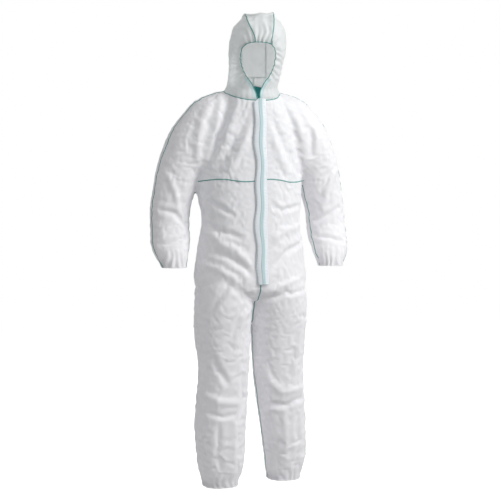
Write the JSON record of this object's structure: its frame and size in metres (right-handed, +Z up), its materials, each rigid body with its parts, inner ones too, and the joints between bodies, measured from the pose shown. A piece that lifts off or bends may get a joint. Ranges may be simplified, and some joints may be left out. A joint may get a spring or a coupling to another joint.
{
  "type": "hooded chemical protective suit",
  "caption": "White hooded disposable coverall with teal overlocked seams, a zip under a storm flap, batwing sleeves and elasticated hood, cuffs, waist and ankles.",
  "frame": {"origin": "centre of the neck opening, at the height where the neck seam crosses the shoulders' tops", "axes": "+Z up along the body, -Y the way the front faces, +X towards the wearer's left"},
  "size_m": [0.76, 0.303, 1.772],
  "materials": {
    "nonwoven": "matte",
    "teal_fabric": "matte",
    "seam_thread": "matte",
    "elastic_band": "matte",
    "zip_tape": "matte",
    "zip_coil": "satin",
    "slider_metal": "satin",
    "adhesive_strip": "satin"
  },
  "bodies": {
    "suit": {"chest_right": "nonwoven", "chest_left": "nonwoven", "upper_back_right": "nonwoven", "upper_back_left": "nonwoven", "trunk_right": "nonwoven", "trunk_left": "nonwoven", "back_vent_panel": "teal_fabric", "chest_seam_right": "seam_thread", "chest_seam_left": "seam_thread", "waist_elastic": "elastic_band", "neck_seam": "seam_thread", "shoulder_bend_right": "nonwoven", "shoulder_bend_left": "nonwoven", "hip_bend_right": "nonwoven", "hip_bend_left": "nonwoven", "zip_tape_right": "zip_tape", "zip_tape_left": "zip_tape", "zip_teeth_right": "zip_coil", "zip_teeth_left": "zip_coil", "zip_top_stop_right": "zip_coil", "zip_top_stop_left": "zip_coil", "zip_bottom_stop": "zip_coil"},
    "hood": {"hood_centre": "nonwoven", "hood_right": "nonwoven", "hood_left": "nonwoven", "face_hem": "nonwoven", "face_elastic": "elastic_band"},
    "storm_flap": {"storm_flap": "nonwoven", "flap_adhesive_tape": "adhesive_strip"},
    "zip_slider": {"zip_slider": "slider_metal"},
    "zip_puller": {"zip_puller": "slider_metal"},
    "upper_sleeve_right": {"upper_sleeve_front_right": "nonwoven", "upper_sleeve_back_right": "nonwoven", "elbow_bend_right": "nonwoven"},
    "lower_sleeve_right": {"lower_sleeve_front_right": "nonwoven", "lower_sleeve_back_right": "nonwoven", "cuff_hem_right": "nonwoven", "cuff_elastic_right": "elastic_band"},
    "thigh_right": {"thigh_right": "nonwoven", "knee_bend_right": "nonwoven"},
    "shin_right": {"shin_right": "nonwoven", "ankle_hem_right": "nonwoven", "ankle_elastic_right": "elastic_band"},
    "upper_sleeve_left": {"upper_sleeve_front_left": "nonwoven", "upper_sleeve_back_left": "nonwoven", "elbow_bend_left": "nonwoven"},
    "lower_sleeve_left": {"lower_sleeve_front_left": "nonwoven", "lower_sleeve_back_left": "nonwoven", "cuff_hem_left": "nonwoven", "cuff_elastic_left": "elastic_band"},
    "thigh_left": {"thigh_left": "nonwoven", "knee_bend_left": "nonwoven"},
    "shin_left": {"shin_left": "nonwoven", "ankle_hem_left": "nonwoven", "ankle_elastic_left": "elastic_band"}
  },
  "joints": [
    {"name": "zip_slide", "type": "slide", "parent": "suit", "child": "zip_slider", "axis": [0, -0.0435, -0.9991], "range_m": [0, 0.645]},
    {"name": "zip_pull_swing", "type": "hinge", "parent": "zip_slider", "child": "zip_puller", "pos_m": [0, -0.1182, -0.0445], "axis": [-1, 0, 0], "range_deg": [0, 10]},
    {"name": "storm_flap_open", "type": "hinge", "parent": "suit", "child": "storm_flap", "pos_m": [0.028, -0.1187, -0.034], "axis": [0, 0.0435, 0.9991], "range_deg": [0, 140]},
    {"name": "hood_fold_back", "type": "hinge", "parent": "suit", "child": "hood", "pos_m": [0, 0.082, 0.0405], "axis": [-1, 0, 0], "range_deg": [0, 85]},
    {"name": "shoulder_raise_right", "type": "hinge", "parent": "suit", "child": "upper_sleeve_right", "pos_m": [-0.215, 0.016, -0.2], "axis": [0, 1, 0], "range_deg": [0, 50], "deforming": ["shoulder_bend_right"]},
    {"name": "elbow_bend_right", "type": "hinge", "parent": "upper_sleeve_right", "child": "lower_sleeve_right", "pos_m": [-0.306, 0.004, -0.485], "axis": [-1, 0, 0], "range_deg": [0, 95], "deforming": ["elbow_bend_right"]},
    {"name": "hip_bend_right", "type": "hinge", "parent": "suit", "child": "thigh_right", "pos_m": [-0.11, 0.03, -0.73], "axis": [-1, 0, 0], "range_deg": [-20, 60], "deforming": ["hip_bend_right"]},
    {"name": "knee_bend_right", "type": "hinge", "parent": "thigh_right", "child": "shin_right", "pos_m": [-0.115, 0.028, -1.13], "axis": [1, 0, 0], "range_deg": [0, 100], "deforming": ["knee_bend_right"]},
    {"name": "shoulder_raise_left", "type": "hinge", "parent": "suit", "child": "upper_sleeve_left", "pos_m": [0.215, 0.016, -0.2], "axis": [0, -1, 0], "range_deg": [0, 50], "deforming": ["shoulder_bend_left"]},
    {"name": "elbow_bend_left", "type": "hinge", "parent": "upper_sleeve_left", "child": "lower_sleeve_left", "pos_m": [0.306, 0.004, -0.485], "axis": [-1, 0, 0], "range_deg": [0, 95], "deforming": ["elbow_bend_left"]},
    {"name": "hip_bend_left", "type": "hinge", "parent": "suit", "child": "thigh_left", "pos_m": [0.11, 0.03, -0.73], "axis": [-1, 0, 0], "range_deg": [-20, 60], "deforming": ["hip_bend_left"]},
    {"name": "knee_bend_left", "type": "hinge", "parent": "thigh_left", "child": "shin_left", "pos_m": [0.124, 0.064, -1.13], "axis": [1, 0, 0], "range_deg": [0, 100], "deforming": ["knee_bend_left"]}
  ]
}
